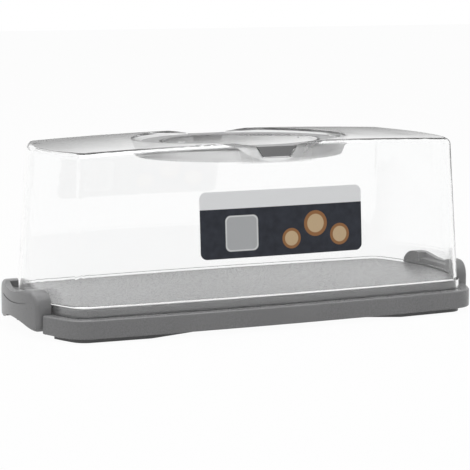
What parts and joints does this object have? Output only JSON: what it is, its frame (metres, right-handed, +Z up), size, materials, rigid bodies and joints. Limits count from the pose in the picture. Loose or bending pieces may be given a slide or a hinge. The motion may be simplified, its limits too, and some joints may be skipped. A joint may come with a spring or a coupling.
{
  "type": "cake container",
  "caption": "Long cake container with a tray base, a tall clear lid, end clips that hook over the lid, and a split oval carrying handle that folds flat into the lid's top.",
  "frame": {"origin": "middle of the footprint, on the table under the foot rims", "axes": "+X along the length, towards the right end; -Y towards the front with the label; +Z up"},
  "size_m": [0.3668, 0.16, 0.1364],
  "materials": {
    "base_plastic": "satin grey moulding",
    "clear_plastic": "clear, glossy",
    "handle_plastic": "satin grey moulding",
    "clip_plastic": "satin grey moulding",
    "label_paper": "plain printed sticker in two tones"
  },
  "bodies": {
    "base": {"base_tray": "base_plastic"},
    "lid": {"lid_shell": "clear_plastic", "label": "label_paper"},
    "front_handle": {"front_handle": "handle_plastic"},
    "rear_handle": {"rear_handle": "handle_plastic"},
    "left_clip": {"left_clip": "clip_plastic"},
    "right_clip": {"right_clip": "clip_plastic"}
  },
  "joints": [
    {"name": "lid_lift", "type": "slide", "parent": "base", "child": "lid", "axis": [0, 0, 1], "range_m": [0, 0.25]},
    {"name": "right_clip_hinge", "type": "hinge", "parent": "base", "child": "right_clip", "pos_m": [0.1706, 0, 0.013], "axis": [0, 1, 0], "range_deg": [0, 90]},
    {"name": "left_clip_hinge", "type": "hinge", "parent": "base", "child": "left_clip", "pos_m": [-0.1706, 0, 0.013], "axis": [0, -1, 0], "range_deg": [0, 90]},
    {"name": "front_handle_fold", "type": "hinge", "parent": "lid", "child": "front_handle", "pos_m": [0, -0.0033, 0.13036], "axis": [-1, 0, 0], "range_deg": [0, 90]},
    {"name": "rear_handle_fold", "type": "hinge", "parent": "lid", "child": "rear_handle", "pos_m": [0, 0.0033, 0.13036], "axis": [1, 0, 0], "range_deg": [0, 90]}
  ]
}
